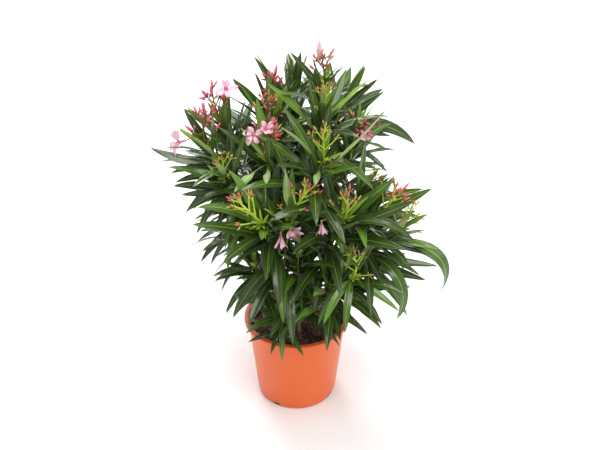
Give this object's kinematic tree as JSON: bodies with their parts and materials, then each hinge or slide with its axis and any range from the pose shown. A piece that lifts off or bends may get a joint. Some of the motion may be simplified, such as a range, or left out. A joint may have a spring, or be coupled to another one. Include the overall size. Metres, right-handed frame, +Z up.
{
  "type": "potted oleander",
  "caption": "Many-stemmed flowering shrub with whorls of long narrow leaves in a round tapered nursery pot.",
  "frame": {"origin": "centre of the pot's flat underside, on the surface that the pot stands on", "axes": "+Z up through the pot's axis, -Y towards the viewer, +X to the viewer's right"},
  "size_m": [0.4897, 0.4596, 0.6743],
  "materials": {
    "pot": "satin orange plastic",
    "soil": "moist bark compost",
    "bark": "grey-brown young bark",
    "foliage": "leathery leaves with a satin gloss"
  },
  "bodies": {
    "root": {"pot": "pot", "soil": "soil", "stem_left": "bark", "leaves_left": "foliage", "stem_front_left": "bark", "leaves_front_left": "foliage", "stem_centre": "bark", "leaves_centre": "foliage", "stem_front_right": "bark", "leaves_front_right": "foliage", "stem_right": "bark", "leaves_right": "foliage", "stem_crown": "bark", "leaves_crown": "foliage", "stem_crown_left": "bark", "leaves_crown_left": "foliage", "stem_low_front_left": "bark", "leaves_low_front_left": "foliage", "stem_low_centre": "bark", "leaves_low_centre": "foliage", "stem_low_middle": "bark", "leaves_low_middle": "foliage", "stem_sucker": "bark", "leaves_sucker": "foliage", "bough_far_left": "bark", "leaves_far_left": "foliage", "bough_left_front": "bark", "leaves_left_front": "foliage", "bough_low_left": "bark", "leaves_low_left": "foliage", "bough_front": "bark", "leaves_front": "foliage", "bough_centre_left": "bark", "leaves_centre_left": "foliage", "bough_low_front_right": "bark", "leaves_low_front_right": "foliage", "bough_right_arch": "bark", "leaves_right_arch": "foliage", "bough_far_right": "bark", "leaves_far_right": "foliage", "bough_mid_right": "bark", "leaves_mid_right": "foliage", "bough_back_right": "bark", "leaves_back_right": "foliage", "bough_low_back": "bark", "leaves_low_back": "foliage", "bough_crown_front": "bark", "leaves_crown_front": "foliage", "bough_crown_right": "bark", "leaves_crown_right": "foliage", "bough_back": "bark", "leaves_back": "foliage", "bough_upper": "bark", "leaves_upper": "foliage", "bough_crown_back": "bark", "leaves_crown_back": "foliage", "bough_back_left": "bark", "leaves_back_left": "foliage"}
  },
  "joints": []
}
